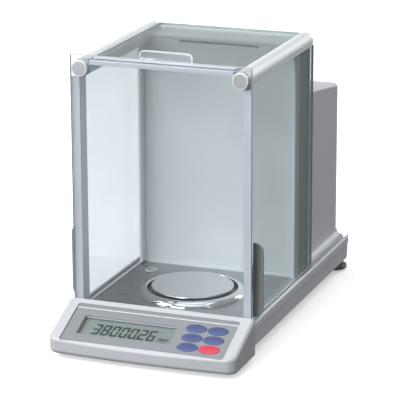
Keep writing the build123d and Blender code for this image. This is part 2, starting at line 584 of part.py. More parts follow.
with BuildPart() as weight_lifter:
    for x in (-31, 31):
        block(x - 2, x + 2, WEIGHT_Y - 5, WEIGHT_Y + 5, 166, WEIGHT_Z + 1)
    with Locations((0, WEIGHT_Y, WEIGHT_Z)):
        Cylinder(3.05, 90, rotation=(0, 90, 0), mode=Mode.SUBTRACT)
    block(-33, 62, WEIGHT_Y + 7, WEIGHT_Y + 13, 166, 174)
    upright(54, WEIGHT_Y + 10, 2.8, 160, 180, Mode.SUBTRACT)
    for x in (-31, 31):
        block(x - 2, x + 2, WEIGHT_Y - 5, WEIGHT_Y + 12, 166, 174)
save(weight_lifter, "weight_lifter")

with BuildPart() as calibration_motor:
    upright(54, WEIGHT_Y + 10, 9, 130, 158)
    upright(54, WEIGHT_Y + 10, 2.5, 158, 180)
    block(40, 66, WEIGHT_Y + 2, WEIGHT_Y + 20, 124, 130)
    block(58, 66, WEIGHT_Y + 2, WEIGHT_Y + 20, DECK_TOP, 124)
    block(40, 58, WEIGHT_Y + 12, WEIGHT_Y + 20, 100, 124)
save(calibration_motor, "calibration_motor")

# ---------------------------------------------------------------- feet
for name, side in (("left", -1), ("right", 1)):
    with BuildPart() as glide:
        upright(side * FOOT_X, FOOT_Y, 8.0, 0, 2.2)
        fillet(glide.edges().sort_by(Axis.Z)[0], radius=0.6)
    save(glide, f"rear_{name}_foot_glide")
    with BuildPart() as wheel:
        with BuildSketch(Plane.XY.offset(2.25)):
            with Locations((side * FOOT_X, FOOT_Y)):
                Circle(FOOT_R)
                with PolarLocations(FOOT_R, 40):
                    Circle(0.6, mode=Mode.SUBTRACT)
        extrude(amount=4.4)
        upright(side * FOOT_X, FOOT_Y, 3.15, 6.6, 27)
    save(wheel, f"rear_{name}_foot_wheel")

with BuildPart() as front_feet:
    for side in (-1, 1):
        upright(side * 76, FRONT + 98, 10, 0, BASE_BOTTOM)
    fillet(front_feet.edges().group_by(Axis.Z)[0], radius=1.2)
save(front_feet, "front_feet")
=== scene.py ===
import math

import bmesh
import bpy
from mathutils import Matrix, Vector


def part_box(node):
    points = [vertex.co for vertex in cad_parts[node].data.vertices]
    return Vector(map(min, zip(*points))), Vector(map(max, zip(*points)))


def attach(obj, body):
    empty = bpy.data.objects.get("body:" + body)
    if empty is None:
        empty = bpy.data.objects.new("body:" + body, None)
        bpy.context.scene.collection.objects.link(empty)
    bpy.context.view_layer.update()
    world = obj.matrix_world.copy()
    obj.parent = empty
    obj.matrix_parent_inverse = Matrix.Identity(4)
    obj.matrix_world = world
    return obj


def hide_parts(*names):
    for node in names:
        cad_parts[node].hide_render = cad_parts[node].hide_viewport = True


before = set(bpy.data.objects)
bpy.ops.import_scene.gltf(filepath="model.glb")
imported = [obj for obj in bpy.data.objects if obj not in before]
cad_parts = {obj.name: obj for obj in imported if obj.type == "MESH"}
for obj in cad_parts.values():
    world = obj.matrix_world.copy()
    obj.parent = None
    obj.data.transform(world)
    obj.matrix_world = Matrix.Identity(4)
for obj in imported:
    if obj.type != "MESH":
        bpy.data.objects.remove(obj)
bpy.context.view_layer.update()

# ------------------------------------------------------------------ camera, lights and bench
# A long lens looks from the right of the front, a little above. Softboxes on the left, overhead and
# in front light the balance in a pale room, and a weak one behind it on the right fills the rear.
AZIMUTH, TILT, ROLL = math.radians(20.766), math.radians(16.163), math.radians(-0.228)
CAMERA_PLACE, LENS, SENSOR = (0.85636, -2.28287, 0.83690), 202.74, 36.0
camera_data = bpy.data.cameras.new("camera")
camera_data.lens = LENS
camera_data.sensor_width = SENSOR
camera_data.clip_end = 20.0
camera = bpy.data.objects.new("camera", camera_data)
camera.matrix_world = (
    Matrix.Translation(CAMERA_PLACE)
    @ Matrix.Rotation(AZIMUTH, 4, "Z")
    @ Matrix.Rotation(math.pi / 2 - TILT, 4, "X")
    @ Matrix.Rotation(ROLL, 4, "Z")
)
bpy.context.scene.collection.objects.link(camera)
bpy.context.scene.camera = camera
bpy.context.scene.view_settings.view_transform = "Standard"


def softbox(name, place, target, size, power):
    """A square softbox at a place, aimed at a target."""
    data = bpy.data.lights.new(name, "AREA")
    data.size = size
    data.energy = power
    lamp = bpy.data.objects.new(name, data)
    aim = Vector(target) - Vector(place)
    lamp.matrix_world = Matrix.Translation(place) @ aim.to_track_quat("-Z", "Y").to_matrix().to_4x4()
    bpy.context.scene.collection.objects.link(lamp)


softbox("left_softbox", (-2.0, -1.2, 1.9), (0, 0, 0.15), 1.6, 60)
softbox("roof_softbox", (0.1, -0.35, 2.4), (0, -0.1, 0.1), 2.3, 26)
softbox("front_softbox", (-0.6, -2.8, 1.2), (0, 0, 0.15), 1.4, 54)
softbox("rear_fill", (1.2, 2.6, 1.1), (0, 0.1, 0.1), 1.6, 22)

room = bpy.data.worlds.new("pale_room")
room.use_nodes = True
room_tree = room.node_tree
toward = room_tree.nodes.new("ShaderNodeTexCoord")
height = room_tree.nodes.new("ShaderNodeSeparateXYZ")
glow = room_tree.nodes.new("ShaderNodeMapRange")
room_tree.links.new(toward.outputs["Generated"], height.inputs[0])
room_tree.links.new(height.outputs["Z"], glow.inputs[0])
for bound, value in (("From Min", -0.3), ("From Max", 0.8), ("To Min", 0.17), ("To Max", 0.5)):
    glow.inputs[bound].default_value = value
room_tree.links.new(glow.outputs[0], room_tree.nodes["Background"].inputs["Strength"])
room_tree.nodes["Background"].inputs["Color"].default_value = (0.95, 0.97, 1.0, 1)
bpy.context.scene.world = room

MM = 0.001
BENCH_HALF, BENCH_DROP = 12.0, 0.3 * MM
bench_bm = bmesh.new()
bmesh.ops.create_grid(bench_bm, x_segments=1, y_segments=1, size=BENCH_HALF)
bmesh.ops.translate(bench_bm, vec=(0, 0, -BENCH_DROP), verts=bench_bm.verts)
bench_mesh = bpy.data.meshes.new("bench")
bench_bm.to_mesh(bench_mesh)
bench_bm.free()
bench = bpy.data.objects.new("bench", bench_mesh)
bpy.context.scene.collection.objects.link(bench)
bench_paint = bpy.data.materials.new("bench_paint")
bench_paint.use_nodes = True
bench_shader = bench_paint.node_tree.nodes["Principled BSDF"]
bench_shader.inputs["Base Color"].default_value = (0.82, 0.82, 0.82, 1)
bench_shader.inputs["Roughness"].default_value = 0.9
bench_shader.inputs["Emission Color"].default_value = (1, 1, 1, 1)
bench_shader.inputs["Emission Strength"].default_value = 0.42
bench.data.materials.append(bench_paint)
bench.visible_diffuse = False
bench.visible_glossy = False

# ------------------------------------------------------------------ base casting
# The base is one aluminium die casting under light grey enamel with a fine texture: a deck with a
# raised lip, grooves that guide the side doors, and a hollow beneath for the electronics.


def node(tree, kind, inputs=None, **attributes):
    """Adds a shader node, sets its attributes, and sets or links its inputs."""
    new = tree.nodes.new("ShaderNode" + kind)
    for key, value in attributes.items():
        setattr(new, key, value)
    for key, value in (inputs or {}).items():
        if isinstance(value, bpy.types.NodeSocket):
            tree.links.new(value, new.inputs[key])
        else:
            new.inputs[key].default_value = value
    return new


def finish(name, colour, roughness, metal=0.0, grain=700, along=(1, 1, 1), relief=0.02, cloud=0.05,
           spread=0.08, wear_and_highlight=0.0, sockets=None):
    """A finish with a fine grain in its gloss and relief, a slow drift of tone, and paler edges: partly
    wear, partly a painted highlight.
    """
    material = bpy.data.materials.new(name)
    material.use_nodes = True
    tree = material.node_tree
    shader = tree.nodes["Principled BSDF"]
    shader.inputs["Metallic"].default_value = metal
    for socket, value in (sockets or {}).items():
        shader.inputs[socket].default_value = value
    place = node(tree, "TexCoord").outputs["Object"]
    laid = node(tree, "Mapping", {"Vector": place, "Scale": along}).outputs[0]
    fine = node(tree, "TexNoise",
                {"Vector": laid, "Scale": grain, "Detail": 3.0, "Roughness": 0.6}).outputs[0]
    drift = node(tree, "TexNoise", {"Vector": place, "Scale": 16.0, "Detail": 2.0}).outputs[0]
    mixed = node(tree, "Math", {0: fine, 1: drift}, operation="ADD").outputs[0]
    shade = node(tree, "MapRange", {0: mixed, 1: 0.7, 2: 1.3, 3: 1 - cloud, 4: 1 + cloud}).outputs[0]
    bump = node(tree, "Bump", {"Height": fine, "Strength": 0.6, "Distance": relief * MM})
    # Edges are made paler in colour: partly wear, partly a painted highlight along the edges that the Bevel
    # node rounds.
    if wear_and_highlight:
        round_edge = node(tree, "Bevel", {"Radius": 0.5 * MM}, samples=4).outputs[0]
        true_face = node(tree, "NewGeometry").outputs["Normal"]
        facing = node(tree, "VectorMath", {0: round_edge, 1: true_face},
                      operation="DOT_PRODUCT").outputs["Value"]
        edge = node(tree, "MapRange", {0: facing, 1: 0.98, 2: 0.8, 3: 0.0, 4: wear_and_highlight}).outputs[0]
        shade = node(tree, "Math", {0: shade, 1: edge}, operation="ADD").outputs[0]
        tree.links.new(round_edge, bump.inputs["Normal"])
    tinted = node(tree, "VectorMath", {0: colour, "Scale": shade}, operation="SCALE").outputs[0]
    gloss = node(tree, "MapRange",
                 {0: fine, 1: 0.3, 2: 0.7, 3: max(roughness - spread, 0.02), 4: roughness + spread})
    tree.links.new(tinted, shader.inputs["Base Color"])
    tree.links.new(gloss.outputs[0], shader.inputs["Roughness"])
    tree.links.new(bump.outputs[0], shader.inputs["Normal"])
    return material


def dress(material, *nodes):
    """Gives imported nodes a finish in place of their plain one."""
    for name in nodes:
        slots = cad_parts[name].material_slots
        for one in slots:
            one.material = material


case_enamel = finish("case_enamel", (0.6, 0.615, 0.64), 0.42, grain=1100, relief=0.03, cloud=0.03,
                     wear_and_highlight=0.08)
dress(case_enamel, "base_casting")

# ------------------------------------------------------------------ underside plates, screws and feet
# Zinc-plated steel plates close the base from below, held by cross-head screws. A rubber plug covers
# the hook for weighing below the bench. Two rubber pads stand under the front of the base.
zinc_plate = finish("zinc_plate", (0.56, 0.57, 0.58), 0.38, metal=1.0, grain=240, along=(1, 0.06, 1),
                    relief=0.01, cloud=0.07)
screw_steel = finish("screw_steel", (0.62, 0.62, 0.6), 0.3, metal=1.0, grain=900, relief=0.01, cloud=0.1)
black_rubber = finish("black_rubber", (0.02, 0.02, 0.021), 0.75, grain=1400, relief=0.05, cloud=0.25)
dress(zinc_plate, "bottom_plates")
dress(screw_steel, "base_screws")
dress(black_rubber, "hook_cover", "front_feet")

# ------------------------------------------------------------------ rear levelling feet
# Each rear foot is a knurled black plastic wheel on a steel screw. The wheel turns to raise or lower
# the balance, and a rubber glide under it stays still on the bench.


def piece(name, bm, body, slot, *finishes, stands_for=(), smooth=35):
    """Makes a bmesh into a finished object that rides on a body, with sharp edges above an angle."""
    mesh = bpy.data.meshes.new(name)
    bm.to_mesh(mesh)
    bm.free()
    for one in finishes:
        mesh.materials.append(one)
    mesh.polygons.foreach_set("use_smooth", [True] * len(mesh.polygons))
    mesh.set_sharp_from_angle(angle=math.radians(smooth))
    made = bpy.data.objects.new(name, mesh)
    bpy.context.scene.collection.objects.link(made)
    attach(made, body)
    if stands_for:
        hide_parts(*stands_for)
    return made


wheel_black = finish("wheel_black", (0.11, 0.115, 0.12), 0.32, grain=1200, relief=0.04, cloud=0.15)
glide_rubber = finish("glide_rubber", (0.03, 0.03, 0.031), 0.7, grain=1600, relief=0.05, cloud=0.2)
stud_steel = finish("stud_steel", (0.6, 0.6, 0.61), 0.28, metal=1.0, grain=1300, along=(1, 1, 4),
                    relief=0.05, cloud=0.08)
WHEEL_TEETH, TOOTH_DEPTH = 40, 0.028
WHEEL_THICK, RIM_EASE, STUD_RADIUS = 4.4 * MM, 0.4 * MM, 3.1 * MM
for side_name in ("left", "right"):
    dress(glide_rubber, f"rear_{side_name}_foot_glide")
    low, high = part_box(f"rear_{side_name}_foot_wheel")
    centre = (low + high) / 2
    wheel_radius = (high.x - low.x) / 2
    wheel_bm = bmesh.new()
    bmesh.ops.create_circle(wheel_bm, cap_ends=True, segments=WHEEL_TEETH * 4, radius=wheel_radius)
    for rim in wheel_bm.verts:
        tooth = math.cos(WHEEL_TEETH * math.atan2(rim.co.y, rim.co.x))
        rim.co *= 1 - TOOTH_DEPTH * (0.5 - 0.5 * tooth)
    raised = bmesh.ops.extrude_face_region(wheel_bm, geom=wheel_bm.faces[:])["geom"]
    upper = [v for v in raised if isinstance(v, bmesh.types.BMVert)]
    bmesh.ops.translate(wheel_bm, vec=(0, 0, WHEEL_THICK), verts=upper)
    bmesh.ops.recalc_face_normals(wheel_bm, faces=wheel_bm.faces)
    rims = [e for e in wheel_bm.edges if abs(e.verts[0].co.z - e.verts[1].co.z) < 0.1 * MM]
    bmesh.ops.bevel(wheel_bm, geom=rims, offset=RIM_EASE, affect="EDGES", segments=2, profile=0.5,
                    material=-1)
    bmesh.ops.translate(wheel_bm, vec=(centre.x, centre.y, low.z), verts=wheel_bm.verts)
    stud_start = len(wheel_bm.faces)
    stud_long = high.z - low.z - WHEEL_THICK
    stud_place = Matrix.Translation((centre.x, centre.y, low.z + WHEEL_THICK + stud_long / 2))
    bmesh.ops.create_cone(wheel_bm, cap_ends=True, segments=48, radius1=STUD_RADIUS, radius2=STUD_RADIUS,
                          depth=stud_long, matrix=stud_place)
    wheel_bm.faces.ensure_lookup_table()
    for face in wheel_bm.faces[stud_start:]:
        face.material_index = 1
    piece(f"rear_{side_name}_levelling_wheel", wheel_bm, f"rear_{side_name}_wheel", "handle",
          wheel_black, stud_steel, stands_for=(f"rear_{side_name}_foot_wheel",))

# ------------------------------------------------------------------ console housing
# The console is a wedge of light grey satin plastic screwed to the front of the base. Its rounded
# bezel stands a little above the keypad film.
console_plastic = finish("console_plastic", (0.46, 0.476, 0.5), 0.36, grain=1500, relief=0.015, cloud=0.02)
dress(console_plastic, "console_housing")

# ------------------------------------------------------------------ keypad film
# A grey printed film is glued in the bezel, with an opening for the display and one for each key. A
# thin white line is printed across it near the top edge.
# The slope's foot and head, each as a distance back from the console's front and a height.
FACE_FOOT, FACE_HEAD = (3.8, 22.4), (65.8, 47.8)
PRINTED_LINE, LINE_HALF = 55.2, 0.45
face_foot = Vector((0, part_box("console_housing")[0].y + FACE_FOOT[0] * MM, FACE_FOOT[1] * MM))
face_lean = math.atan2(FACE_HEAD[1] - FACE_FOOT[1], FACE_HEAD[0] - FACE_FOOT[0])
face_place = Matrix.Translation(face_foot) @ Matrix.Rotation(face_lean, 4, "X")


def lay_over(material, mask, colour):
    """Lays a colour over a finish wherever the mask is 1."""
    tree = material.node_tree
    shader = tree.nodes["Principled BSDF"]
    below = shader.inputs["Base Color"].links[0].from_socket
    laid = node(tree, "Mix", {0: mask, 6: below, 7: (*colour, 1)}, data_type="RGBA").outputs[2]
    tree.links.new(laid, shader.inputs["Base Color"])


film_grey = finish("film_grey", (0.222, 0.232, 0.243), 0.44, grain=1800, relief=0.01, cloud=0.03)
film_tree = film_grey.node_tree
film_spot = node(film_tree, "TexCoord").outputs["Object"]
film_flat = node(film_tree, "Mapping",
                 {"Vector": film_spot, "Location": face_foot, "Rotation": (face_lean, 0, 0)},
                 vector_type="TEXTURE")
up_slope = node(film_tree, "SeparateXYZ", {0: film_flat.outputs[0]}).outputs["Y"]
on_line = node(film_tree, "Math", {0: up_slope, 1: PRINTED_LINE * MM, 2: LINE_HALF * MM},
               operation="COMPARE").outputs[0]
lay_over(film_grey, on_line, (0.8, 0.81, 0.82))
dress(film_grey, "keypad_overlay")

# ------------------------------------------------------------------ keys
# Six oval keys of coloured rubber stand through the film, each crowned so that a finger finds its
# middle. The lower right one is red and the rest are blue. A silicone mat behind springs them back.
KEY_HALF_WIDE, KEY_HALF_HIGH, KEY_FOOT, KEY_RISE = 11.7 * MM, 6.7 * MM, -3.7 * MM, 2.75 * MM
KEY_CROWN = ((0.93, 0.14), (0.88, 0.14), (0.8, 0.12), (0.66, 0.1), (0.5, 0.06), (0.2, 0.01))


def key(name, colour_name, colour):
    """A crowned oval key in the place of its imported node."""
    low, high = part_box(name)
    middle = face_place.inverted() @ ((low + high) / 2)
    bm = bmesh.new()
    bmesh.ops.create_circle(bm, cap_ends=True, segments=72, radius=1.0)
    bmesh.ops.scale(bm, vec=(KEY_HALF_WIDE, KEY_HALF_HIGH, 1), verts=bm.verts)
    bmesh.ops.translate(bm, vec=(0, 0, KEY_FOOT), verts=bm.verts)
    raised = bmesh.ops.extrude_face_region(bm, geom=bm.faces[:])["geom"]
    upper = [v for v in raised if isinstance(v, bmesh.types.BMVert)]
    bmesh.ops.translate(bm, vec=(0, 0, KEY_RISE), verts=upper)
    bm.faces.ensure_lookup_table()
    crown = max(bm.faces, key=lambda face: face.calc_center_median().z)
    bmesh.ops.inset_region(bm, faces=[crown], thickness=0.25 * MM, depth=0.18 * MM)
    for shrink, lift in KEY_CROWN:
        bmesh.ops.inset_region(bm, faces=[crown], thickness=0)
        bmesh.ops.scale(bm, vec=(shrink, shrink, 1), verts=crown.verts)
        bmesh.ops.translate(bm, vec=(0, 0, lift * MM), verts=crown.verts)
    bmesh.ops.recalc_face_normals(bm, faces=bm.faces)
    bmesh.ops.transform(bm, matrix=face_place @ Matrix.Translation((middle.x, middle.y, 0)), verts=bm.verts)
    rubber = finish(colour_name, colour, 0.34, grain=1600, relief=0.012, cloud=0.07,
                    sockets={"Coat Weight": 0.35, "Coat Roughness": 0.2})
    slot = "key_red" if "red" in colour_name else "key_blue"
    piece(f"{name}_cap", bm, name, slot, rubber, stands_for=(name,), smooth=60)


for key_spot in ("upper_left", "upper_right", "middle_left", "middle_right", "lower_left"):
    key(f"key_{key_spot}", f"blue_key_rubber_{key_spot}", (0.05, 0.072, 0.19))
key("key_lower_right", "red_key_rubber", (0.52, 0.032, 0.065))

silicone = finish("mat_silicone", (0.55, 0.55, 0.53), 0.6, grain=1200, relief=0.02, cloud=0.06)
dress(silicone, "key_mat")

# ------------------------------------------------------------------ display
# A reflective liquid-crystal display lies under a clear window: a grey-green polariser with dark
# slanting figures of seven strokes each, and the unit mark after them.
polariser = finish("polariser", (0.205, 0.25, 0.24), 0.33, grain=2600, relief=0.004, cloud=0.03)
dress(polariser, "lcd_module")


GLASS_IOR = 1.45


def clear_sheet(name, tint, haze, gloss=0.03):
    """Clear glass or plastic: light goes straight through it, tinted, and its faces mirror by angle."""
    material = bpy.data.materials.new(name)
    material.use_nodes = True
    tree = material.node_tree
    tree.nodes.remove(tree.nodes["Principled BSDF"])
    place = node(tree, "TexCoord").outputs["Object"]
    smear = node(tree, "TexNoise", {"Vector": place, "Scale": 22.0, "Detail": 4.0}).outputs[0]
    dust = node(tree, "TexNoise", {"Vector": place, "Scale": 900.0, "Detail": 2.0}).outputs[0]
    rough = node(tree, "MapRange", {0: smear, 1: 0.35, 2: 0.75, 3: gloss, 4: gloss + 0.05}).outputs[0]
    clean = node(tree, "MapRange", {0: smear, 1: 0.3, 2: 0.7, 3: 0.985, 4: 1.0}).outputs[0]
    passed = node(tree, "VectorMath", {0: tint, "Scale": clean}, operation="SCALE").outputs[0]
    through = node(tree, "BsdfTransparent", {"Color": passed}).outputs[0]
    mirror = node(tree, "BsdfAnisotropic", {"Color": (1, 1, 1, 1), "Roughness": rough}).outputs[0]
    film = node(tree, "BsdfDiffuse", {"Color": (0.9, 0.93, 0.96, 1)}).outputs[0]
    veil = node(tree, "MapRange", {0: dust, 1: 0.3, 2: 0.7, 3: haze * 0.6, 4: haze * 1.4}).outputs[0]
    veiled = node(tree, "MixShader", {0: veil, 1: through, 2: film}).outputs[0]
    behind = node(tree, "NewGeometry").outputs["Backfacing"]
    ratio = node(tree, "MapRange", {0: behind, 3: GLASS_IOR, 4: 1 / GLASS_IOR}).outputs[0]
    angle = node(tree, "Fresnel", {"IOR": ratio}).outputs[0]
    both = node(tree, "MixShader", {0: angle, 1: veiled, 2: mirror}).outputs[0]
    tree.links.new(both, tree.nodes["Material Output"].inputs["Surface"])
    return material


window_clear = clear_sheet("window_clear", (0.98, 0.985, 0.98), 0.004)
dress(window_clear, "lcd_window")

FIGURE_WIDE, FIGURE_HIGH, STROKE = 8.8, 16.8, 2.5
FIGURE_STEP, FIGURE_LEFT, FIGURE_BASE, FIGURE_LEAN = 10.6, -66.2, 19.9, 0.14
INK_THICK, POINT_WIDE, UNIT_LEFT, UNIT_LIFT = 0.08, 1.9, 10.6, 1.6
LCD_DEPTH = 5.9        # the display's face lies this far under the slope
STROKES = {
    "a": (FIGURE_WIDE / 2, FIGURE_HIGH - STROKE / 2, FIGURE_WIDE, 0),
    "g": (FIGURE_WIDE / 2, FIGURE_HIGH / 2, FIGURE_WIDE, 0),
    "d": (FIGURE_WIDE / 2, STROKE / 2, FIGURE_WIDE, 0),
    "f": (STROKE / 2, FIGURE_HIGH * 0.75, FIGURE_HIGH / 2, 1),
    "b": (FIGURE_WIDE - STROKE / 2, FIGURE_HIGH * 0.75, FIGURE_HIGH / 2, 1),
    "e": (STROKE / 2, FIGURE_HIGH * 0.25, FIGURE_HIGH / 2, 1),
    "c": (FIGURE_WIDE - STROKE / 2, FIGURE_HIGH * 0.25, FIGURE_HIGH / 2, 1),
}
LIT = {"3": "abgcd", "8": "abcdefg", "0": "abcdef", "2": "abged", "6": "acdefg"}


def stroke(bm, x, y, long, upright):
    """One stroke of a figure: a thin bar with mitred ends."""
    before = set(bm.verts)
    bmesh.ops.create_cube(bm, size=MM)
    new = [v for v in bm.verts if v not in before]
    bmesh.ops.scale(bm, vec=(long - 0.5, STROKE, INK_THICK), verts=new)
    ends = [e for e in bm.edges
            if e.verts[0] in new and abs(e.verts[0].co.z - e.verts[1].co.z) > INK_THICK * MM / 2]
    bmesh.ops.bevel(bm, geom=ends, offset=STROKE * 0.47 * MM, affect="EDGES", segments=1, profile=0.5,
                    material=-1)
    new = [v for v in bm.verts if v not in before]
    if upright:
        bmesh.ops.rotate(bm, matrix=Matrix.Rotation(math.pi / 2, 3, "Z"), verts=new)
    bmesh.ops.translate(bm, vec=(x * MM, y * MM, 0), verts=new)
    return new


figures = bmesh.new()
left_edge = FIGURE_LEFT
for sign in "38000.26":
    if sign == ".":
        before = set(figures.verts)
        bmesh.ops.create_cube(figures, size=MM)
        point = [v for v in figures.verts if v not in before]
        bmesh.ops.scale(figures, vec=(POINT_WIDE, POINT_WIDE, INK_THICK), verts=point)
        bmesh.ops.translate(figures, vec=((left_edge - 1.1) * MM, 0.5 * MM, 0), verts=point)
        continue
    made = []
    for part in LIT[sign]:
        made += stroke(figures, *STROKES[part])
    bmesh.ops.translate(figures, vec=(left_edge * MM, 0, 0), verts=made)
    left_edge += FIGURE_STEP
for v in figures.verts:
    v.co.x += v.co.y * FIGURE_LEAN
ink_level = (0.05 - LCD_DEPTH) * MM
bmesh.ops.translate(figures, vec=(0, FIGURE_BASE * MM, ink_level), verts=figures.verts)

unit_curve = bpy.data.curves.new("unit_mark", "FONT")
unit_curve.body = "mg"
unit_curve.size = 9.5 * MM
unit_curve.shear = 0.2
unit_curve.extrude = 0.04 * MM
unit_curve.offset = 0.22 * MM
unit_text = bpy.data.objects.new("unit_mark", unit_curve)
unit_mesh = bpy.data.meshes.new_from_object(unit_text)
unit_mesh.transform(Matrix.Translation((UNIT_LEFT * MM, (FIGURE_BASE + UNIT_LIFT) * MM, ink_level)))
figures.from_mesh(unit_mesh)
bpy.data.objects.remove(unit_text)
bpy.data.meshes.remove(unit_mesh)
bmesh.ops.transform(figures, matrix=face_place, verts=figures.verts)
figure_ink = finish("figure_ink", (0.01, 0.018, 0.018), 0.5, grain=2000, relief=0.002, cloud=0.2)
piece("display_figures", figures, "case", "lcd", figure_ink, smooth=20)

# ------------------------------------------------------------------ chamber floor
# The floor of the weighing chamber is a brushed stainless plate laid on the deck, with holes for the
# pan's stem and for the level.
floor_steel = finish("floor_steel", (0.4, 0.41, 0.42), 0.36, metal=1.0, grain=500, along=(0.08, 1, 1),
                     relief=0.012, cloud=0.09, spread=0.1)
dress(floor_steel, "chamber_floor")

# ------------------------------------------------------------------ draught ring
# A spun ring of polished stainless stands on the floor round the pan. Its inner edge is rolled and
# its skirt slopes down to the plate.


def lathe(bm, profile, centre, steps=128):
    """Turns a closed outline of (radius, height) pairs round an upright axis through centre."""
    before = set(bm.verts)
    outline = [bm.verts.new((radius * MM, 0, height * MM)) for radius, height in profile]
    edges = [bm.edges.new((outline[i - 1], outline[i])) for i in range(len(outline))]
    bmesh.ops.spin(bm, geom=outline + edges, cent=(0, 0, 0), axis=(0, 0, 1), angle=math.tau,
                   steps=steps, use_merge=True)
    new = [v for v in bm.verts if v not in before]
    bmesh.ops.remove_doubles(bm, verts=new, dist=1e-6)
    new = [v for v in bm.verts if v not in before]
    bmesh.ops.recalc_face_normals(bm, faces=[f for f in bm.faces if f.verts[0] in new])
    bmesh.ops.translate(bm, vec=(centre[0], centre[1], 0), verts=new)
    return new


ring_low, ring_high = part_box("draught_ring")
pan_centre = (0, (ring_low.y + ring_high.y) / 2)
polished = finish("polished_stainless", (0.82, 0.825, 0.835), 0.07, metal=1.0, grain=420, relief=0.0001,
                  cloud=0.02, spread=0.03)
SKIRT_RADIUS, SKIRT_CENTRE = 10.8, (50.4, 32.9)
skirt = [(SKIRT_CENTRE[0] + SKIRT_RADIUS * math.cos(math.radians(lean)),
          SKIRT_CENTRE[1] + SKIRT_RADIUS * math.sin(math.radians(lean))) for lean in range(25, 80, 5)]
ring_bm = bmesh.new()
lathe(ring_bm, ((60.2, 37.0), *skirt, (52.4, 43.5), (51.6, 43.35), (51.1, 42.9), (51.0, 42.1), (51.5, 41.8),
                (52.7, 41.6), (58.0, 37.3), (58.2, 37.0)), pan_centre)
piece("polished_draught_ring", ring_bm, "case", "polished", polished, stands_for=("draught_ring",),
      smooth=50)

# ------------------------------------------------------------------ weighing pan
# The pan is a pressed stainless dish with a rolled rim. It sits on an aluminium spider whose socket
# drops over the stud of the load arm.
pan_steel = finish("pan_stainless", (0.66, 0.67, 0.68), 0.17, metal=1.0, grain=700, relief=0.003,
                   cloud=0.05, spread=0.06)
pan_bm = bmesh.new()
lathe(pan_bm, ((0, 44.5), (0, 45.0), (40.5, 45.0), (43.2, 45.05), (44.6, 45.3), (45.4, 45.4), (46.0, 45.25),
               (46.4, 44.8), (46.4, 43.0), (46.2, 42.8), (45.8, 42.8), (45.6, 43.0), (45.6, 44.2),
               (45.2, 44.5)), pan_centre)
piece("pan_dish", pan_bm, "load_receiver", "polished", pan_steel, stands_for=("pan",), smooth=50)
cast_aluminium = finish("cast_aluminium", (0.6, 0.61, 0.62), 0.42, metal=1.0, grain=380, relief=0.03,
                        cloud=0.06)
dress(cast_aluminium, "pan_support", "load_arm", "load_hanger")

# ------------------------------------------------------------------ spirit level
# A round level in a light metal holder is pressed into the floor. A pale bubble shows in its dark
# green liquid, with a circle printed for the bubble to sit in.
level_low, level_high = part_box("level_vial")
level_centre = ((level_low.x + level_high.x) / 2, (level_low.y + level_high.y) / 2)
level_metal = finish("level_holder", (0.66, 0.67, 0.68), 0.28, metal=0.5, grain=1200, relief=0.02,
                     cloud=0.1)
dress(level_metal, "level_body")
level_liquid = finish("level_liquid", (0.2, 0.24, 0.19), 0.12, grain=300, relief=0.001, cloud=0.04,
                      sockets={"Coat Weight": 0.6, "Coat Roughness": 0.03})
dress(level_liquid, "level_vial")
bubble_bm = bmesh.new()
bubble_spot = (level_centre[0] + 0.5 * MM, level_centre[1] - 0.3 * MM)
lathe(bubble_bm, ((0, 37.58), (0, 37.76), (0.9, 37.74), (1.5, 37.66), (1.7, 37.58)), bubble_spot, 40)
bubble_faces = len(bubble_bm.faces)
lathe(bubble_bm, ((2.5, 37.58), (2.5, 37.64), (2.8, 37.64), (2.8, 37.58)), level_centre, 48)
bubble_bm.faces.ensure_lookup_table()
for face in bubble_bm.faces[bubble_faces:]:
    face.material_index = 1
bubble_clear = finish("bubble", (0.82, 0.86, 0.72), 0.08, grain=300, relief=0.001, cloud=0.04)
circle_ink = finish("circle_ink", (0.03, 0.03, 0.03), 0.5, grain=900, relief=0.002, cloud=0.1)
piece("level_bubble", bubble_bm, "case", "window", bubble_clear, circle_ink, smooth=60)

# ------------------------------------------------------------------ glass panes
# Four panes of 3 mm float glass close the chamber: the fixed front pane, two side doors and the roof
# door. The doors' glass has a darker tint, a painted shade for the dimmer view through the side doors.
# The ground edges catch the light and look green.
float_glass = clear_sheet("float_glass", (0.945, 0.953, 0.968), 0.012)
# The darker door tint is painted shade, standing in for the dimmer view through the side doors.
door_glass = clear_sheet("door_glass", (0.87, 0.89, 0.895), 0.012)
edge_glass = finish("ground_glass_edge", (0.4, 0.51, 0.49), 0.22, grain=1500, relief=0.01, cloud=0.12,
                    sockets={"Coat Weight": 0.5, "Coat Roughness": 0.1})


CORNER_ROUND, EDGE_BEVEL, GLUE_GAP = 1.2 * MM, 0.35 * MM, 0.05 * MM


def pane(name, replaced, body, clear):
    """A glass pane with ground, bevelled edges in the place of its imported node."""
    low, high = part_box(replaced)
    size = high - low
    thin = min(range(3), key=lambda axis: size[axis])
    size[thin] -= GLUE_GAP * 2      # clear of the faces that it is glued to
    bm = bmesh.new()
    bmesh.ops.create_cube(bm, size=1.0)
    bmesh.ops.scale(bm, vec=size, verts=bm.verts)
    bmesh.ops.translate(bm, vec=(low + high) / 2, verts=bm.verts)
    corners = [e for e in bm.edges if abs(e.verts[0].co[thin] - e.verts[1].co[thin]) > size[thin] / 2]
    bmesh.ops.bevel(bm, geom=corners, offset=CORNER_ROUND, affect="EDGES", segments=4, profile=0.5,
                    material=-1)
    bm.normal_update()
    rims = [e for e in bm.edges if any(abs(f.normal[thin]) > 0.9 for f in e.link_faces)
            and any(abs(f.normal[thin]) < 0.1 for f in e.link_faces)]
    bmesh.ops.bevel(bm, geom=rims, offset=EDGE_BEVEL, affect="EDGES", segments=1, profile=0.5,
                    material=-1)
    bm.normal_update()
    for face in bm.faces:
        face.material_index = 0 if abs(face.normal[thin]) > 0.95 else 1
    return piece(name, bm, body, "glass", clear, edge_glass, stands_for=(replaced,), smooth=20)


